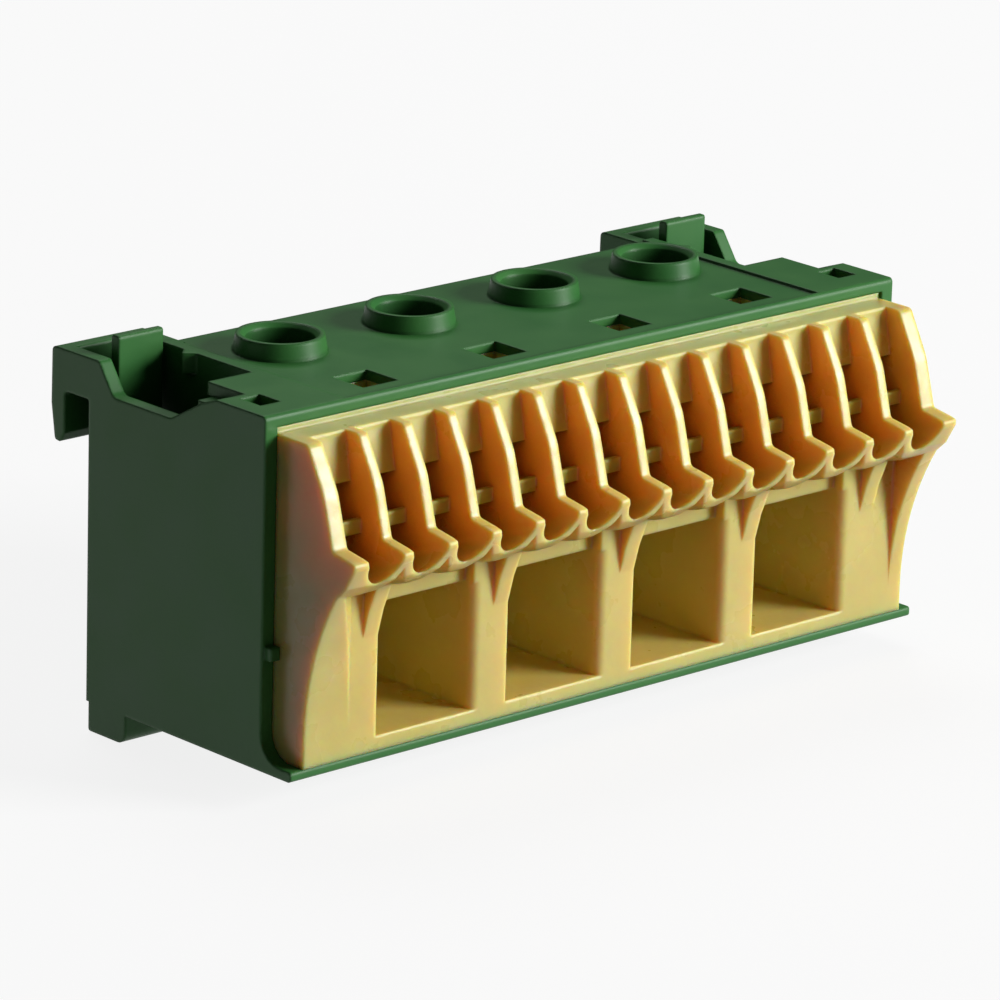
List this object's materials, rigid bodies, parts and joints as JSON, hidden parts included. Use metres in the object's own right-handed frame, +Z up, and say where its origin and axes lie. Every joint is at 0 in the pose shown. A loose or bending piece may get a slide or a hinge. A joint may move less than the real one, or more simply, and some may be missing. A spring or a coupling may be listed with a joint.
{
  "type": "earth terminal bar",
  "caption": "Hook-on earth terminal bar: green housing, yellow wire-entry front with scalloped spring-clamp slots, large screw-clamp openings and collared screwdriver holes.",
  "frame": {"origin": "centre of the footprint, on the surface that the feet stand on", "axes": "+X along the bar, +Y to the back where the rail hooks are, +Z up through the screw holes"},
  "size_m": [0.09, 0.0466, 0.0428],
  "materials": {
    "green_plastic": "satin moulded",
    "yellow_plastic": "glossy, slightly translucent",
    "brass": "bright drawn",
    "plated_steel": "zinc plated",
    "screw_steel": "zinc plated, turned",
    "spring_steel": "rolled strip"
  },
  "bodies": {
    "body": {"housing": "green_plastic", "front_moulding": "yellow_plastic", "earth_busbar": "brass", "spring_clamp_1": "spring_steel", "spring_clamp_2": "spring_steel", "spring_clamp_3": "spring_steel", "spring_clamp_4": "spring_steel", "spring_clamp_5": "spring_steel", "spring_clamp_6": "spring_steel", "spring_clamp_7": "spring_steel", "spring_clamp_8": "spring_steel", "spring_clamp_9": "spring_steel", "spring_clamp_10": "spring_steel", "spring_clamp_11": "spring_steel", "spring_clamp_12": "spring_steel", "spring_clamp_13": "spring_steel", "spring_clamp_14": "spring_steel"},
    "screw_1": {"clamp_screw_1": "screw_steel"},
    "cage_1": {"clamp_cage_1": "plated_steel"},
    "screw_2": {"clamp_screw_2": "screw_steel"},
    "cage_2": {"clamp_cage_2": "plated_steel"},
    "screw_3": {"clamp_screw_3": "screw_steel"},
    "cage_3": {"clamp_cage_3": "plated_steel"},
    "screw_4": {"clamp_screw_4": "screw_steel"},
    "cage_4": {"clamp_cage_4": "plated_steel"}
  },
  "joints": [
    {"name": "screw_turn_1", "type": "hinge", "parent": "body", "child": "screw_1", "pos_m": [-0.027, 0.00775, 0.0338], "axis": [0, 0, 1], "range_deg": [-3240, 0]},
    {"name": "cage_lift_1", "type": "slide", "parent": "body", "child": "cage_1", "axis": [0, 0, 1], "range_m": [0, 0.009]},
    {"name": "screw_turn_2", "type": "hinge", "parent": "body", "child": "screw_2", "pos_m": [-0.009, 0.00775, 0.0338], "axis": [0, 0, 1], "range_deg": [-3240, 0]},
    {"name": "cage_lift_2", "type": "slide", "parent": "body", "child": "cage_2", "axis": [0, 0, 1], "range_m": [0, 0.009]},
    {"name": "screw_turn_3", "type": "hinge", "parent": "body", "child": "screw_3", "pos_m": [0.009, 0.00775, 0.0338], "axis": [0, 0, 1], "range_deg": [-3240, 0]},
    {"name": "cage_lift_3", "type": "slide", "parent": "body", "child": "cage_3", "axis": [0, 0, 1], "range_m": [0, 0.009]},
    {"name": "screw_turn_4", "type": "hinge", "parent": "body", "child": "screw_4", "pos_m": [0.027, 0.00775, 0.0338], "axis": [0, 0, 1], "range_deg": [-3240, 0]},
    {"name": "cage_lift_4", "type": "slide", "parent": "body", "child": "cage_4", "axis": [0, 0, 1], "range_m": [0, 0.009]}
  ],
  "couplings": [
    {"joint": "screw_turn_1", "follows": "cage_lift_1", "rad_per_m": -6283.2},
    {"joint": "screw_turn_2", "follows": "cage_lift_2", "rad_per_m": -6283.2},
    {"joint": "screw_turn_3", "follows": "cage_lift_3", "rad_per_m": -6283.2},
    {"joint": "screw_turn_4", "follows": "cage_lift_4", "rad_per_m": -6283.2}
  ]
}
